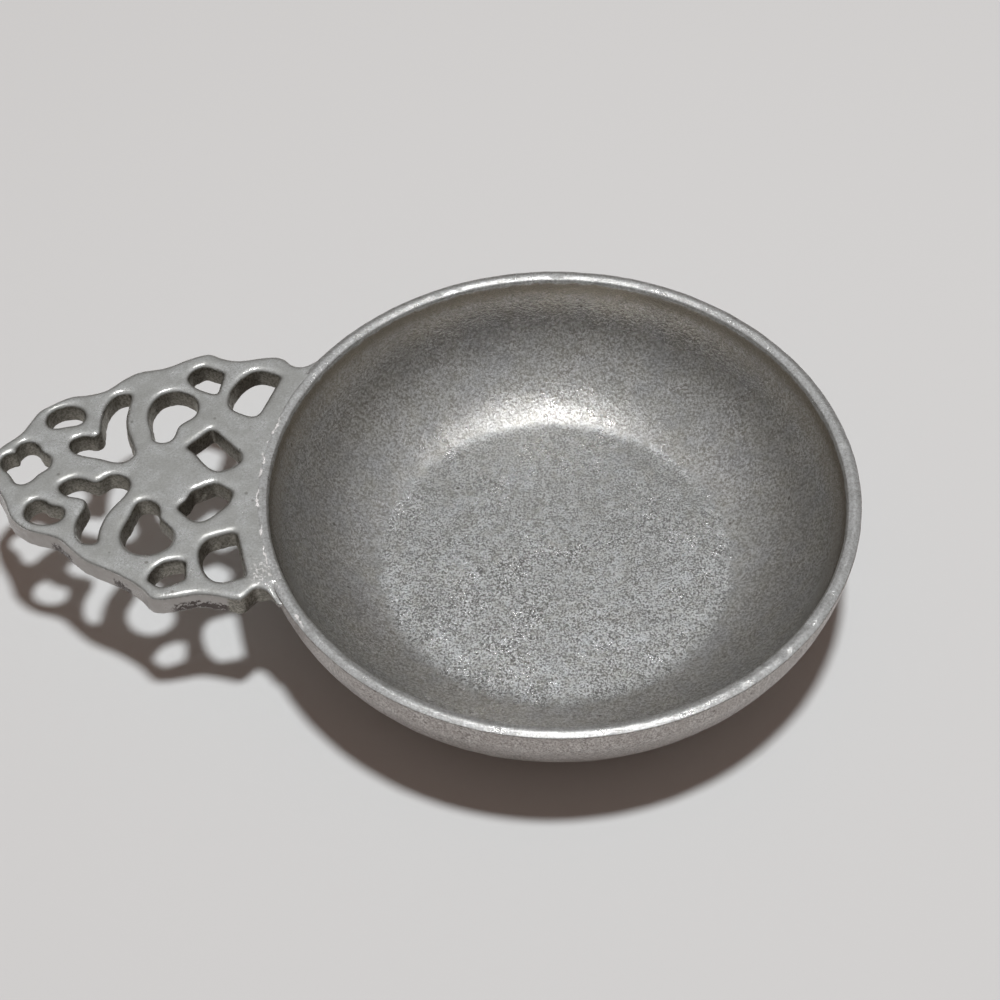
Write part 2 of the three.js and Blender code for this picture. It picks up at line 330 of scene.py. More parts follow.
def arc_between(start, end, start_slope, steps):
    """The arc that leaves start at a slope and ends at end, as (radius, height) points."""
    chord_slope = math.atan2(end[1] - start[1], end[0] - start[0])
    turn = 2 * (chord_slope - start_slope)
    radius = math.dist(start, end) / (2 * math.sin(turn / 2))
    centre = (start[0] - radius * math.sin(start_slope), start[1] + radius * math.cos(start_slope))
    slopes = [start_slope + turn * i / steps for i in range(steps + 1)]
    return [(centre[0] + radius * math.sin(s), centre[1] - radius * math.cos(s)) for s in slopes]


def round_run(centre, radius, first_tilt, last_tilt):
    """Part of a round as (radius, height) points. A tilt is 0 at its top and positive outwards."""
    tilts = [first_tilt + (last_tilt - first_tilt) * i / ROUND_STEPS for i in range(ROUND_STEPS + 1)]
    return [(centre[0] + radius * math.sin(a), centre[1] + radius * math.cos(a)) for a in tilts]


def flank_run(start, width):
    """Slopes down from one end of the crown's round. A width below 0 runs inwards."""
    drop = abs(width) * math.tan(RIM_TILT)
    shares = [(i + 1) / FLANK_STEPS for i in range(FLANK_STEPS)]
    return [(start[0] + width * share, start[1] - drop * share) for share in shares]


def edge_run(top_end, tilt, side):
    """Rounds the rim from the end of its top down to the wall whose radius is side."""
    radius = (side - top_end[0]) / (math.copysign(1, tilt) - math.sin(tilt))
    centre = (top_end[0] - radius * math.sin(tilt), top_end[1] - radius * math.cos(tilt))
    return round_run(centre, radius, tilt, math.copysign(RIM_EDGE_END, tilt))


def eased_corner(wall, size):
    """Replaces the corner where a wall leaves a level face by a small curve."""
    corner = wall[0]
    level_end = (corner[0] - size, corner[1])
    beyond = [point for point in wall if math.dist(point, corner) > size]
    wall_end = beyond[0]
    curve = []
    for i in range(CORNER_STEPS + 1):
        t = i / CORNER_STEPS
        curve.append(tuple((1 - t) ** 2 * a + 2 * t * (1 - t) * b + t * t * c
                           for a, b, c in zip(level_end, corner, wall_end)))
    return curve + beyond[1:]


def bowl_profile():
    """From the middle of the base, out and up the outside, over the rim and down to the floor."""
    crown_centre = (RIM_CROWN_RADIUS, BOWL_HEIGHT - RIM_CROWN_ROUND)
    crown = round_run(crown_centre, RIM_CROWN_ROUND, RIM_TILT, -RIM_TILT)
    outer_flank = flank_run(crown[0], RIM_OUTER_FLANK)
    inner_flank = flank_run(crown[-1], -RIM_INNER_FLANK)
    top = [*outer_flank[::-1], *crown, *inner_flank]
    outer_edge = edge_run(top[0], RIM_TILT, RIM_RADIUS)
    inner_edge = edge_run(top[-1], -RIM_TILT, RIM_RADIUS - RIM_WIDTH)
    outer_wall = arc_between((BASE_RADIUS, 0), outer_edge[-1], OUTER_FOOT_SLOPE, OUTER_STEPS)
    inner_wall = arc_between((FLOOR_RADIUS, FLOOR_LEVEL), inner_edge[-1], INNER_FOOT_SLOPE,
                             INNER_STEPS)
    return [
        (0, 0), *eased_corner(outer_wall, BASE_CORNER), *outer_edge[-2::-1], *top[1:],
        *inner_edge[1:], *eased_corner(inner_wall, FLOOR_CORNER)[-2::-1], (0, FLOOR_LEVEL),
    ]


def cut_spoke(piece, level, cuts):
    """Divides the edge of the profile that runs out from the axis at a level."""
    edit(piece, "DESELECT")
    done()
    for edge in piece.data.edges:
        ends = [piece.data.vertices[i].co for i in edge.vertices]
        edge.select = (min(end.x for end in ends) < MM / 2
                       and abs(ends[0].z - level) < MM / 2 and abs(ends[1].z - level) < MM / 2)
    bpy.ops.object.mode_set(mode="EDIT")
    bpy.ops.mesh.select_mode(type="EDGE")
    bpy.ops.mesh.subdivide(number_cuts=cuts)
    done()


def spun_bowl(name):
    """Extrudes one vertex along the bowl's profile and spins it round the axis."""
    profile = bowl_profile()
    deselect_all()
    bpy.ops.mesh.primitive_plane_add(size=MM, location=(profile[0][0], 0, profile[0][1]))
    piece = bpy.context.object
    piece.name = name
    bpy.ops.object.transform_apply(location=True, rotation=True, scale=True)
    edit(piece)
    bpy.ops.mesh.merge(type="CENTER")
    for (radius, height), (next_radius, next_height) in zip(profile, profile[1:]):
        step = (next_radius - radius, 0, next_height - height)
        bpy.ops.mesh.extrude_region_move(TRANSFORM_OT_translate={"value": step})
    for level, cuts in ((0, BASE_CUTS), (FLOOR_LEVEL, FLOOR_CUTS)):
        cut_spoke(piece, level, cuts)
    edit(piece)
    bpy.ops.mesh.spin(steps=BOWL_SIDES, angle=math.tau, center=(0, 0, 0), axis=UP)
    bpy.ops.mesh.select_all(action="SELECT")
    bpy.ops.mesh.remove_doubles(threshold=MM / 1000)
    bpy.ops.mesh.normals_make_consistent(inside=False)
    done()
    return piece


def nick(bowl, angle, width, depth):
    """Dents the rim at an angle round the axis, counted from +X towards +Y."""
    spot = Vector((math.cos(angle), math.sin(angle), 0)) * NICK_RADIUS

    def dented(place, normal):
        return ramp(math.hypot(place.x - spot.x, place.y - spot.y), width, 0) * (
            place.z > BOWL_HEIGHT - NICK_REACH)

    displace(bowl, -depth, weigh(bowl, "nick", dented), direction="Z")
    bowl.vertex_groups.remove(bowl.vertex_groups["nick"])


def make_bowl():
    bowl = spun_bowl("bowl_casting")

    def near_rim(place, normal):
        return ramp(place.z, RIM_FOOT - RIM_BLEND, RIM_FOOT)

    def cast_face(place, normal):
        return 1 - near_rim(place, normal) if place.z > BASE_FLAT else 0

    def worn_corner(place, normal):
        above_floor = place.z - FLOOR_LEVEL
        if normal.z < LEVEL_LEAST or not -MM < above_floor < CORNER_WEAR_HEIGHT:
            return 0
        nearness = 1 - abs(axis_distance(place) - FLOOR_RADIUS) / CORNER_WEAR
        return ramp(nearness, 0, 0.5) * ramp(-place.y / FLOOR_RADIUS, *CORNER_WEAR_GROWTH)

    def near_side(place, normal):
        return ramp(place.z, *RIM_FLAT_HEIGHTS) * ramp(-place.y / RIM_RADIUS, 0, 1)

    smooth(bowl, CORNER_SMOOTHING, weigh(bowl, "corner", worn_corner))
    displace(bowl, RIM_FLAT, weigh(bowl, "near side", near_side), direction="Y")
    rim = weigh(bowl, "rim", near_rim)
    swell(bowl, BOWL_WALL_SWELLS, weigh(bowl, "cast", cast_face))
    swell(bowl, BOWL_RIM_SWELLS, rim)
    for angle, width, depth in RIM_NICKS:
        nick(bowl, math.radians(angle), width * MM, depth * MM)
    bowl.vertex_groups.clear()
    pick(bowl)
    bpy.ops.object.shade_smooth_by_angle(angle=SHARP_EDGE)
    return bowl


def is_outside(centre, normal):
    """Whether a face of the bowl has the outside's finish."""
    outward = (normal.x * centre.x + normal.y * centre.y) / max(axis_distance(centre), MM)
    lean = OUTSIDE_LEAN if centre.z < RIM_FOOT else RIM_OUTSIDE_LEAN
    return normal.z < -LEVEL_LEAST or outward > lean


# Ear

def copy_of_node(node, name):
    piece = bpy.data.objects.new(name, frame["nodes"][node].data.copy())
    bpy.context.scene.collection.objects.link(piece)
    edit(piece)
    bpy.ops.mesh.remove_doubles(threshold=MM / 100)
    bpy.ops.mesh.normals_make_consistent(inside=False)
    done()
    return piece


def sink_root(ear):
    """Moves the root's face into the rim."""

    def faces_bowl(centre, normal):
        outward = (normal.x * centre.x + normal.y * centre.y) / centre.length
        return axis_distance(centre) < RIM_RADIUS + ROOT_REACH and outward < ROOT_FACING

    select_faces(ear, faces_bowl)
    inward = 1 - ROOT_DEPTH / RIM_RADIUS
    bpy.ops.transform.resize(value=(inward, inward, 1), center_override=(0, 0, 0))
    done()


def lower_top(ear):
    """Brings the ear's top a hair below the rim's."""
    edit(ear)
    kept = 1 - EAR_TOP_DROP / EAR_THICKNESS
    bpy.ops.transform.resize(value=(1, 1, kept), center_override=(0, 0, EAR_UNDERSIDE))
    done()


def round_off(ear):
    """Makes an even fine mesh of the ear and softens it, its upper half the most."""

    def upper(place, normal):
        return ramp(BOWL_HEIGHT - place.z, *EAR_ROUNDED_DEPTHS)

    apply_modifier(ear, "REMESH", mode="VOXEL", voxel_size=EAR_VOXEL)
    smooth(ear, EAR_SMOOTHING)
    smooth(ear, EAR_TOP_SMOOTHING, weigh(ear, "upper", upper))


def thin_root_ends(ear):
    """Lifts the underside of the root's ends, which run out along the rim, and sinks their tips."""

    def web(place, normal):
        if abs(place.y) < WEB_SIDE:
            return 0
        return ramp(place.x, WEB_START, WEB_END) * (BOWL_HEIGHT - place.z) / EAR_THICKNESS

    def tip(place, normal):
        return ramp(place.x, TIP_START, WEB_END) if abs(place.y) > WEB_SIDE else 0

    displace(ear, WEB_THINNING, weigh(ear, "web", web), direction="Z")
    displace(ear, -TIP_DROP, weigh(ear, "tip", tip), direction="Z")


def roughen(ear):
    """Leans the walls of the ear, makes them rough and its level faces a little uneven."""

    def upright(place, normal):
        return 1 - ramp(abs(normal.z), *EAR_WALL_RISE)

    def leaning(place, normal):
        return upright(place, normal) * ramp(BOWL_HEIGHT - place.z, *EAR_DRAFT_DEPTHS)

    def rough(place, normal):
        return upright(place, normal) * ramp(BOWL_HEIGHT - place.z, *EAR_ROUGH_DEPTHS)

    def level(place, normal):
        return 1 - upright(place, normal)

    displace(ear, EAR_DRAFT, weigh(ear, "leaning", leaning))
    swell(ear, EAR_WALL_SWELLS, weigh(ear, "rough", rough))
    swell(ear, EAR_FACE_SWELLS, weigh(ear, "level", level))


def mark_piercings(ear):
    """An attribute that is 1 down the walls of the piercings and the notches, and 0 elsewhere."""
    tree = BVHTree.FromObject(ear, bpy.context.evaluated_depsgraph_get())
    mark = ear.data.attributes.new("piercing", "FLOAT", "POINT")
    for vertex in ear.data.vertices:
        way = Vector((vertex.normal.x, vertex.normal.y, 0))
        if way.length > WALL_LEAST:
            hit = tree.ray_cast(vertex.co + way.normalized() * MM / 2, way, PIERCING_REACH)
            to_notch = math.hypot(vertex.co.x - NOTCH[0], abs(vertex.co.y) - NOTCH[1])
            mark.data[vertex.index].value = 1 if hit[0] else ramp(to_notch, *NOTCH_EDGE)


def make_ear():
    ear = copy_of_node("handle", "ear_casting")
    sink_root(ear)
    lower_top(ear)
    round_off(ear)
    thin_root_ends(ear)
    roughen(ear)
    ear.vertex_groups.clear()
    mark_piercings(ear)
    pick(ear)
    bpy.ops.object.shade_smooth()
    return ear


# Joint metal

def make_solder():
    solder = copy_of_node("solder", "joint_metal")
    apply_modifier(solder, "REMESH", mode="VOXEL", voxel_size=SOLDER_VOXEL)
    smooth(solder, SOLDER_SMOOTHING)
    swell(solder, SOLDER_SWELLS)
    pick(solder)
    bpy.ops.object.shade_smooth()
    return solder


# Shader nodes

def feed(tree, socket, value):
    """Gives a socket a value, or links it to another node's output."""
    if isinstance(value, bpy.types.NodeSocket):
        tree.links.new(value, socket)
    else:
        socket.default_value = value


def add(tree, kind, inputs=None, **settings):
    """Adds a node. Its inputs take numbers, colours or other nodes' outputs."""
    node = tree.nodes.new("ShaderNode" + kind)
    for key, value in settings.items():
        setattr(node, key, value)
    for name, value in (inputs or {}).items():
        feed(tree, node.inputs[name], value)
    return node


def calc(tree, operation, *values):
    return add(tree, "Math", dict(enumerate(values)), operation=operation).outputs[0]


def mix(tree, share, first, second):
    """Mixes two numbers."""
    return calc(tree, "MULTIPLY_ADD", share, calc(tree, "SUBTRACT", second, first), first)


def blend(tree, share, first, second):
    """Mixes two colours, each an (r, g, b) or a node's output."""
    node = add(tree, "Mix", {"Factor": share}, data_type="RGBA")
    for socket, colour in ((node.inputs[6], first), (node.inputs[7], second)):
        feed(tree, socket, (*colour, 1) if isinstance(colour, tuple) else colour)
    return node.outputs[2]


def between(tree, value, low, high, out_low=0.0, out_high=1.0):
    """Rises smoothly from out_low to out_high as value goes from low to high."""
    return add(tree, "MapRange", {"Value": value, "From Min": low, "From Max": high,
                                  "To Min": out_low, "To Max": out_high},
               interpolation_type="SMOOTHSTEP").outputs["Result"]


def noise(tree, place, size, detail=2.0, roughness=0.5, offset=(0, 0, 0)):
    """Noise with lumps about size wide, size in metres."""
    scaled = add(tree, "VectorMath", {0: place, 1: offset}, operation="ADD").outputs[0]
    per_metre = calc(tree, "DIVIDE", 1.0, size)
    return add(tree, "TexNoise", {"Vector": scaled, "Scale": per_metre, "Detail": detail,
                                  "Roughness": roughness}).outputs["Fac"]


def axes(tree, place):
    return add(tree, "SeparateXYZ", {0: place}).outputs


def new_group(name, inputs, outputs):
    """A node group with float inputs, a vector input called Place, and float outputs."""
    group = bpy.data.node_groups.new(name, "ShaderNodeTree")
    group.interface.new_socket("Place", in_out="INPUT", socket_type="NodeSocketVector")
    for socket_name, value in inputs.items():
        socket = group.interface.new_socket(socket_name, in_out="INPUT",
                                            socket_type="NodeSocketFloat")
        socket.default_value = value
    for socket_name in outputs:
        group.interface.new_socket(socket_name, in_out="OUTPUT", socket_type="NodeSocketFloat")
    source = group.nodes.new("NodeGroupInput").outputs
    result = group.nodes.new("NodeGroupOutput").inputs
    return group, source, result


def use(tree, group, inputs):
    """Places a node group and returns its outputs."""
    node = tree.nodes.new("ShaderNodeGroup")
    node.node_tree = group
    for name, value in inputs.items():
        feed(tree, node.inputs[name], value)
    return node.outputs


# Effects

def make_cast_grain():
    """The print of the sand: rounded grains with finer ones over them, and a few pits.

    Height is 0 halfway up the grains.
    """
    group, source, result = new_group(
        "cast grain", {"Grain Size": 0.5 * MM, "Pit Size": 1.2 * MM, "Pit Share": 0.1},
        ("Height", "Pits"))
    place = source["Place"]
    coarse = noise(group, place, source["Grain Size"], detail=3.0, roughness=0.6)
    fine_size = calc(group, "MULTIPLY", source["Grain Size"], 0.45)
    fine = noise(group, place, fine_size, detail=1.0, offset=(0.1, 0.2, 0.3))
    pit_scale = calc(group, "DIVIDE", 1.0, source["Pit Size"])
    cells = add(group, "TexVoronoi", {"Vector": place, "Scale": pit_scale, "Randomness": 1.0})
    chosen = add(group, "SeparateColor", {"Color": cells.outputs["Color"]}).outputs[0]
    deep = calc(group, "LESS_THAN", chosen, source["Pit Share"])
    hollow = between(group, cells.outputs["Distance"], 0.3, 0.12)
    pits = calc(group, "MULTIPLY", deep, hollow)
    grains = calc(group, "MULTIPLY_ADD", coarse, 0.65, calc(group, "MULTIPLY", fine, 0.35))
    sunk = calc(group, "MULTIPLY_ADD", pits, 0.5, 0.5)
    group.links.new(calc(group, "SUBTRACT", grains, sunk), result["Height"])
    group.links.new(pits, result["Pits"])
    return group


def make_tarnish():
    """Soft patches of two sizes, where old metal has gone dull."""
    group, source, result = new_group("tarnish", {"Patch Size": 8 * MM, "Spread": 0.5}, ("Mask",))
    place = source["Place"]
    broad = noise(group, place, source["Patch Size"], detail=3.0, roughness=0.6)
    small_size = calc(group, "MULTIPLY", source["Patch Size"], 0.22)
    small = noise(group, place, small_size, offset=(0.3, 0.1, 0.2))
    both = calc(group, "MULTIPLY_ADD", small, 0.35, calc(group, "MULTIPLY", broad, 0.65))
    threshold = calc(group, "SUBTRACT", 1.0, source["Spread"])
    low = calc(group, "SUBTRACT", threshold, 0.12)
    high = calc(group, "ADD", threshold, 0.12)
    group.links.new(between(group, both, low, high), result["Mask"])
    return group


def make_scratches():
    """Straight scratches in three directions, in patches."""
    group, source, result = new_group(
        "scratches", {"Length": 14 * MM, "Slimness": 40.0, "Share": 0.5}, ("Mask",))
    stretch = add(group, "CombineXYZ", {"X": 1.0, "Y": source["Slimness"], "Z": 1.0}).outputs[0]
    lines = 0.0
    for turn, offset in SCRATCH_WAYS:
        turned = add(group, "VectorRotate", {"Vector": source["Place"], "Angle": turn},
                     rotation_type="Z_AXIS").outputs[0]
        across = add(group, "VectorMath", {0: turned, 1: stretch}, operation="MULTIPLY").outputs[0]
        streak = noise(group, across, source["Length"], detail=1.0, offset=offset)
        lines = calc(group, "MAXIMUM", lines, between(group, streak, 0.72, 0.78))
    areas = noise(group, source["Place"], source["Length"], detail=1.0, offset=(0.7, 0.7, 0.7))
    threshold = calc(group, "SUBTRACT", 1.0, source["Share"])
    shown = between(group, areas, threshold, calc(group, "ADD", threshold, 0.1))
    group.links.new(calc(group, "MULTIPLY", lines, shown), result["Mask"])
    return group


def make_scuff():
    """A broken bright line where the ear's top meets the rim, and the scraped patch beside it."""
    group, source, result = new_group("scuff", {"Line Radius": SCUFF_RADIUS}, ("Mask",))
    place = source["Place"]
    flat = add(group, "VectorMath", {0: place, 1: (1, 1, 0)}, operation="MULTIPLY").outputs[0]
    out = add(group, "VectorMath", {0: flat}, operation="LENGTH").outputs["Value"]
    wander = noise(group, place, SCUFF_PIECE, detail=3.0)
    stray = calc(group, "MULTIPLY_ADD", wander, 2 * SCUFF_STRAY, -SCUFF_STRAY)
    off_line = calc(group, "SUBTRACT", calc(group, "ADD", out, stray), source["Line Radius"])
    width = between(group, noise(group, place, SCUFF_WIDTH_CHANGE, detail=1.0), 0.35, 0.65,
                    0, SCUFF_HALF_WIDTH)
    beyond = calc(group, "SUBTRACT", calc(group, "ABSOLUTE", off_line), width)
    line = between(group, beyond, SCUFF_EDGE, 0)
    pieces = noise(group, place, SCUFF_PIECE, roughness=0.6, offset=(0.2, 0, 0))
    broken = between(group, pieces, 0.47, 0.53)
    along = axes(group, place)
    beside_ear = calc(group, "MULTIPLY", between(group, along["X"], *SCUFF_X),
                      between(group, along["Y"], *SCUFF_Y))
    line = calc(group, "MULTIPLY", line, calc(group, "MULTIPLY", broken, beside_ear))
    off_patch = add(group, "VectorMath", {0: flat, 1: SCRAPED_PATCH}, operation="DISTANCE")
    inside = between(group, off_patch.outputs["Value"], *SCRAPED_EDGE)
    speckle = between(group, noise(group, place, SCRAPED_SPECKLE), 0.53, 0.63, 0, 0.6)
    patch = calc(group, "MULTIPLY", inside, speckle)
    group.links.new(calc(group, "MAXIMUM", line, patch), result["Mask"])
    return group


CAST_GRAIN = make_cast_grain()
TARNISH = make_tarnish()
SCRATCHES = make_scratches()
SCUFF = make_scuff()


# Materials

def new_metal(name):
    material = bpy.data.materials.new(name)
    material.use_nodes = True
    tree = material.node_tree
    shader = tree.nodes["Principled BSDF"]
    shader.inputs["Metallic"].default_value = 1
    return material, tree, shader, add(tree, "TexCoord").outputs["Object"]


def cast_grain(tree, place, size, pit_size, pit_share):
    return use(tree, CAST_GRAIN, {"Place": place, "Grain Size": size, "Pit Size": pit_size,
                                  "Pit Share": pit_share})


def patches(tree, place, size, spread=0.5):
    """A mask of soft patches of about a size."""
    return use(tree, TARNISH, {"Place": place, "Patch Size": size, "Spread": spread})["Mask"]


def scratches(tree, place, length, slimness, share):
    return use(tree, SCRATCHES, {"Place": place, "Length": length, "Slimness": slimness,
                                 "Share": share})["Mask"]


def grained(tree, height, metal, ease=0.13):
    """Colours the hollows of a grain and its ridges, the more sharply the smaller ease is."""
    return blend(tree, between(tree, height, -ease, ease), *metal)


def mottled(tree, colour, share, mask, speckle):
    """Takes a share of the colour from a speckle that is light in the mask and dark beside it."""
    return blend(tree, share, colour, blend(tree, mask, *speckle))


def coated(tree, colour, share, mask, coat):
    """Lays a share of a coat's colour over the colour where the mask is 1."""
    return blend(tree, calc(tree, "MULTIPLY", mask, share), colour, coat)


def finish_metal(tree, shader, colour, roughness, height, depth):
    """Wires a metal's colour, roughness and relief, height times depth in metres."""
    bump = add(tree, "Bump", {"Height": height, "Distance": depth, "Strength": 1.0})
    for name, value in (("Base Color", colour), ("Roughness", roughness),
                        ("Normal", bump.outputs[0])):
        tree.links.new(value, shader.inputs[name])


def scuff_over(tree, shader, place):
    """Makes the scuffed metal less of a mirror, and returns the mask of the scuffs."""
    scuff = use(tree, SCUFF, {"Place": place})["Mask"]
    tree.links.new(between(tree, scuff, 0, 1, 1, SCUFF_METALLIC), shader.inputs["Metallic"])
    return scuff


def frosted_floor(tree, place, height, spots):
    """Sharp bright grains, more of them in the frosted patches and fewer towards the far side."""
    frost = patches(tree, place, 9 * MM, 0.42)
    lifted = calc(tree, "ADD", height, calc(tree, "MULTIPLY_ADD", frost, 0.025, spots))
    colour = grained(tree, lifted, FLOOR_METAL, 0.07)
    smoother = between(tree, axes(tree, place)["Y"], *SMOOTHER_FLOOR, 0, 0.3)
    colour = coated(tree, colour, 1, smoother, RUBBED_FLOOR)
    return coated(tree, colour, 0.12, frost, FROST)


def aged(tree, place, colour, up_wall):
    """Bluish patches up the wall, brownish ones all over, and short lines of wear."""
    bluish = calc(tree, "MULTIPLY", patches(tree, place, 22 * MM, 0.47), up_wall)
    colour = coated(tree, colour, 0.25, bluish, BLUISH)
    colour = coated(tree, colour, 0.22, patches(tree, place, 5 * MM, 0.45), BROWNISH)
    lines = scratches(tree, place, length=2.4 * MM, slimness=9.0, share=0.38)
    return coated(tree, colour, 0.35, lines, WEAR_LINES)


def paint_inside():
    """The bowl's inside, with the pebbled skin of the mould, and its rubbed rim."""
    material, tree, shader, place = new_metal("cast inside")
    level = axes(tree, place)["Z"]
    ragged = calc(tree, "MULTIPLY_ADD", noise(tree, place, 2.5 * MM), 1.2 * MM, level)
    rim = between(tree, ragged, *RIM_METAL_HEIGHTS)
    up_wall = between(tree, ragged, *WALL_METAL_HEIGHTS)
    floor_grain = cast_grain(tree, place, size=0.48 * MM, pit_size=1.6 * MM, pit_share=0.003)
    wall_grain = cast_grain(tree, place, size=0.62 * MM, pit_size=1.6 * MM, pit_share=0.003)
    dull = patches(tree, place, 14 * MM)
    specks = patches(tree, place, 2.2 * MM)

    # Spots lift the grain's height where it is coloured, so that they show as more of its ridges
    spots = calc(tree, "MULTIPLY_ADD", specks, 0.044, -0.022)
    floor = frosted_floor(tree, place, floor_grain["Height"], spots)
    lifted = calc(tree, "MULTIPLY_ADD", spots, 0.6, wall_grain["Height"])
    colour = blend(tree, up_wall, floor, grained(tree, lifted, WALL_METAL, 0.12))
    colour = coated(tree, colour, 0.24, dull, DULL_INSIDE)
    colour = aged(tree, place, colour, up_wall)
    pits = mix(tree, up_wall, floor_grain["Pits"], wall_grain["Pits"])
    colour = coated(tree, colour, 0.5, pits, INSIDE_PITS)
    # Painted shade: the wall just under the rim is darkened towards brown
    colour = coated(tree, colour, 0.75, between(tree, ragged, *SHADE_HEIGHTS), PAINTED_SHADE_UNDER_RIM)
    # Painted reflection tint: a warm colour in the band where the lamp's double reflection shows
    colour = coated(tree, colour, 0.28, between(tree, level, *WARM_REFLECTION_HEIGHTS), WARM_REFLECTION_TINT)

    worn = grained(tree, wall_grain["Height"], RIM_METAL)
    worn = mottled(tree, worn, 0.2, specks, RIM_SPECKLE)
    colour = blend(tree, rim, colour, worn)
    scuff = scuff_over(tree, shader, place)
    colour = blend(tree, scuff, colour, FRESH_METAL)

    polish = between(tree, level, *POLISH_HEIGHTS, 0, 0.18)
    roughness = calc(tree, "SUBTRACT", between(tree, dull, 0, 1, *INSIDE_ROUGHNESS), polish)
    roughness = calc(tree, "MULTIPLY_ADD", rim, 0.18, roughness)
    relief = mix(tree, up_wall, calc(tree, "MULTIPLY", floor_grain["Height"], 0.65),
                 calc(tree, "MULTIPLY", wall_grain["Height"], 0.45))
    relief = mix(tree, scuff, relief, floor_grain["Height"])
    finish_metal(tree, shader, colour, roughness, relief, INSIDE_RELIEF)
    return material


def paint_outside():
    """The satin outside of the bowl, finely pitted."""
    material, tree, shader, place = new_metal("satin outside")
    grain = cast_grain(tree, place, size=0.5 * MM, pit_size=1.5 * MM, pit_share=0.12)
    dull = patches(tree, place, 6 * MM)
    colour = grained(tree, grain["Height"], OUTSIDE_METAL)
    colour = mottled(tree, colour, 0.15, patches(tree, place, 2 * MM), OUTSIDE_SPECKLE)
    colour = coated(tree, colour, 0.4, dull, DULL_OUTSIDE)
    colour = coated(tree, colour, 0.6, grain["Pits"], OUTSIDE_PITS)
    roughness = between(tree, dull, 0, 1, *OUTSIDE_ROUGHNESS)
    finish_metal(tree, shader, colour, roughness, grain["Height"], OUTSIDE_RELIEF)
    return material


def burr_mask(tree, place):
    """Dark ragged metal along parts of the ear's lower edge, on its near side."""
    along = axes(tree, place)
    runs = 0.0
    for middle, half_length in BURRS:
        off = calc(tree, "ABSOLUTE", calc(tree, "SUBTRACT", along["X"], middle))
        runs = calc(tree, "MAXIMUM", runs, between(tree, off, half_length, 0.7 * half_length))
    low = between(tree, along["Z"], *BURR_HEIGHTS)
    near = between(tree, along["Y"], *BURR_Y)
    ragged = noise(tree, place, BURR_SIZE, roughness=0.6, offset=(0.4, 0, 0))
    torn = between(tree, calc(tree, "MULTIPLY_ADD", low, 0.16, ragged), 0.56, 0.62)
    return calc(tree, "MULTIPLY", calc(tree, "MULTIPLY", runs, near),
                calc(tree, "MULTIPLY", torn, between(tree, low, 0, 0.3)))


def paint_ear():
    """The ear: rubbed satin on top, dark and rough in its piercings, with painted shade down its
    sides.
    """
    material, tree, shader, place = new_metal("pierced ear")
    normal = add(tree, "TexCoord").outputs["Normal"]
    facing_up = calc(tree, "ABSOLUTE", axes(tree, normal)["Z"])
    ragged = calc(tree, "MULTIPLY_ADD", noise(tree, place, 0.9 * MM), 0.3, facing_up)
    side = between(tree, ragged, 0.75, 0.4)
    pierced = add(tree, "Attribute", attribute_name="piercing").outputs["Fac"]
    piercing = calc(tree, "MULTIPLY", side, pierced)
    grain = cast_grain(tree, place, size=0.5 * MM, pit_size=1.7 * MM, pit_share=0.035)
    dull = patches(tree, place, 10 * MM)
    scratch = scratches(tree, place, length=9 * MM, slimness=50.0, share=0.5)
    scuff = scuff_over(tree, shader, place)
    burr = calc(tree, "MULTIPLY", burr_mask(tree, place), side)

    colour = grained(tree, grain["Height"], EAR_METAL)
    colour = mottled(tree, colour, 0.2, patches(tree, place, 2.6 * MM), EAR_SPECKLE)
    colour = coated(tree, colour, 0.6, dull, DULL_EAR)
    colour = coated(tree, colour, 0.5, grain["Pits"], EAR_PITS)
    colour = coated(tree, colour, 0.5, scratch, SCRATCHED)
    colour = blend(tree, scuff, colour, FRESH_METAL)
    # Painted shade: the upright sides are darkened, as they mirror the shaded floor
    colour = coated(tree, colour, 0.85, side, EAR_SIDES_PAINTED_SHADE)
    colour = blend(tree, burr, colour, BURR_METAL)
    crust = noise(tree, place, CRUST_SIZE, detail=3.0, roughness=0.6)
    crust = between(tree, crust, 0.36, 0.64)
    colour = blend(tree, piercing, colour, blend(tree, crust, *PIERCING_CRUST))

    roughness = between(tree, dull, 0, 1, *EAR_ROUGHNESS)
    roughness = calc(tree, "MULTIPLY_ADD", piercing, 0.2, roughness)
    relief = calc(tree, "MULTIPLY", grain["Height"], between(tree, piercing, 0, 1, 0.5, 1.2))
    relief = calc(tree, "MULTIPLY_ADD", scratch, -0.2, relief)
    scuffed = calc(tree, "MULTIPLY", scuff, grain["Height"])
    relief = calc(tree, "MULTIPLY_ADD", scuffed, 4.0, relief)
    relief = calc(tree, "MULTIPLY_ADD", burr, -0.6, relief)
    finish_metal(tree, shader, colour, roughness, relief, EAR_RELIEF)
    return material


def paint_solder():
    """The dull joint metal under the ear, wiped while it was soft."""
    material, tree, shader, place = new_metal("wiped solder")
    grain = cast_grain(tree, place, size=1.1 * MM, pit_size=3 * MM, pit_share=0.05)
    dull = patches(tree, place, 4 * MM)
    colour = blend(tree, dull, *SOLDER_METAL)
    roughness = between(tree, dull, 0, 1, *SOLDER_ROUGHNESS)
    finish_metal(tree, shader, colour, roughness, grain["Height"], SOLDER_RELIEF)
    return material


# Stage, camera and light

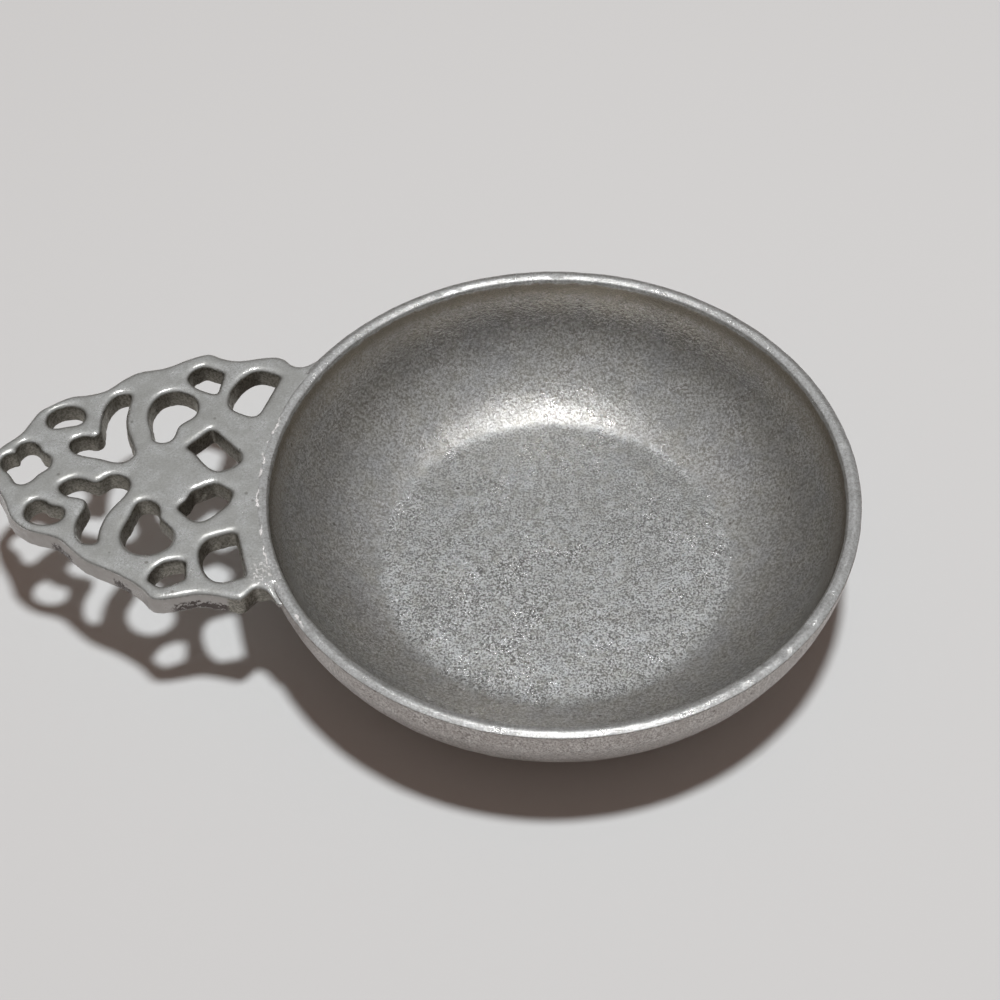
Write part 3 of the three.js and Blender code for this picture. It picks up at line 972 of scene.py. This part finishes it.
def make_floor():
    """A pale floor. What the lamps leave dark far away is made up by a glow for the camera alone."""
    deselect_all()
    bpy.ops.mesh.primitive_plane_add(size=FLOOR_SIZE)
    floor = bpy.context.object
    floor.name = "floor"
    material = bpy.data.materials.new("pale floor")
    material.use_nodes = True
    tree = material.node_tree
    away = add(tree, "VectorMath", {0: add(tree, "TexCoord").outputs["Object"]},
               operation="LENGTH").outputs["Value"]
    seen = add(tree, "LightPath").outputs["Is Camera Ray"]
    glow = calc(tree, "MULTIPLY", seen, between(tree, away, *FLOOR_FADE, 0, FLOOR_GLOW))
    inputs = tree.nodes["Principled BSDF"].inputs
    for name, value in (
            ("Base Color", (*FLOOR_COLOUR, 1)), ("Roughness", FLOOR_ROUGHNESS),
            ("Specular IOR Level", FLOOR_SHEEN), ("Emission Color", (*BACKDROP, 1)),
            ("Emission Strength", glow)):
        feed(tree, inputs[name], value)
    floor.data.materials.append(material)


def make_camera():
    out = Quaternion(UP, CAMERA_AZIMUTH) @ Vector(
        (0, -math.cos(CAMERA_ELEVATION), math.sin(CAMERA_ELEVATION)))
    forward = -out
    right = forward.cross(UP).normalized()
    up = right.cross(forward)
    pan = Quaternion(up, CAMERA_PAN)
    forward, right = pan @ forward, pan @ right
    tilt = Quaternion(right, CAMERA_TILT)
    forward, up = tilt @ forward, tilt @ up
    roll = Quaternion(forward, CAMERA_ROLL)
    right, up = roll @ right, roll @ up
    bpy.ops.object.camera_add()
    camera = bpy.context.object
    camera.data.lens = CAMERA_LENS
    camera.data.sensor_width = CAMERA_SENSOR
    camera.data.clip_start = CAMERA_NEAREST
    camera.data.clip_end = CAMERA_FARTHEST
    turned = Matrix((right, up, -forward)).transposed().to_4x4()
    camera.matrix_world = Matrix.Translation(RIM_CENTRE + out * CAMERA_DISTANCE) @ turned
    bpy.context.scene.camera = camera


def make_lamps():
    """Two soft lamps in one place. The metal mirrors only the first."""
    for name, level in LAMP_LEVELS.items():
        bpy.ops.object.light_add(type="AREA", location=LAMP_PLACE)
        lamp = bpy.context.object
        lamp.rotation_euler = (-LAMP_PLACE).to_track_quat("-Z", "Y").to_euler()
        lamp.data.shape = "DISK"
        lamp.data.size = LAMP_WIDTH
        # A disk of this power lights a white floor at the origin to the level
        lamp.data.energy = level * math.pi ** 2 * LAMP_PLACE.length_squared
        lamp.visible_glossy = name == "shine"


def make_sky():
    """An even warm fill, and what the metal mirrors: bright overhead, dim towards the horizon.

    The camera itself sees a plain backdrop.
    """
    world = bpy.data.worlds.new("studio")
    world.use_nodes = True
    tree = world.node_tree
    direction = axes(tree, add(tree, "TexCoord").outputs["Generated"])
    fade = add(tree, "ValToRGB", {"Fac": direction["Z"]})
    stops = fade.color_ramp.elements
    for i, (position, colour) in enumerate(SKY):
        stop = stops[i] if i < 2 else stops.new(position)
        stop.position = position
        stop.color = (*colour, 1)
    low = between(tree, direction["Z"], *SKY_DIM_HEIGHTS)
    dim = calc(tree, "MULTIPLY", low,
               between(tree, direction["Y"], *SKY_DIM_SIDES, 0, SKY_DIM_SHARE))
    sky = blend(tree, dim, fade.outputs[0], SKY_BLACK)
    ray = add(tree, "LightPath").outputs
    light = blend(tree, ray["Is Glossy Ray"], FILL, sky)
    light = blend(tree, ray["Is Camera Ray"], light, BACKDROP)
    tree.links.new(light, tree.nodes["Background"].inputs["Color"])
    bpy.context.scene.world = world


bpy.context.scene.view_settings.view_transform = "Standard"
make_camera()
make_lamps()
make_sky()
make_floor()
bowl = make_bowl()
ear = make_ear()
solder = make_solder()

for piece, node, slot, paints in (
        (bowl, "bowl", "cast_bowl", (paint_inside, paint_outside)),
        (ear, "handle", "cast_handle", (paint_ear,)),
        (solder, "solder", "solder", (paint_solder,))):
    piece.data.materials.clear()
    for paint in paints:
        piece.data.materials.append(paint())
    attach(piece, "root")
    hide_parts(node)

for face in bowl.data.polygons:
    face.material_index = 1 if is_outside(face.center, face.normal) else 0
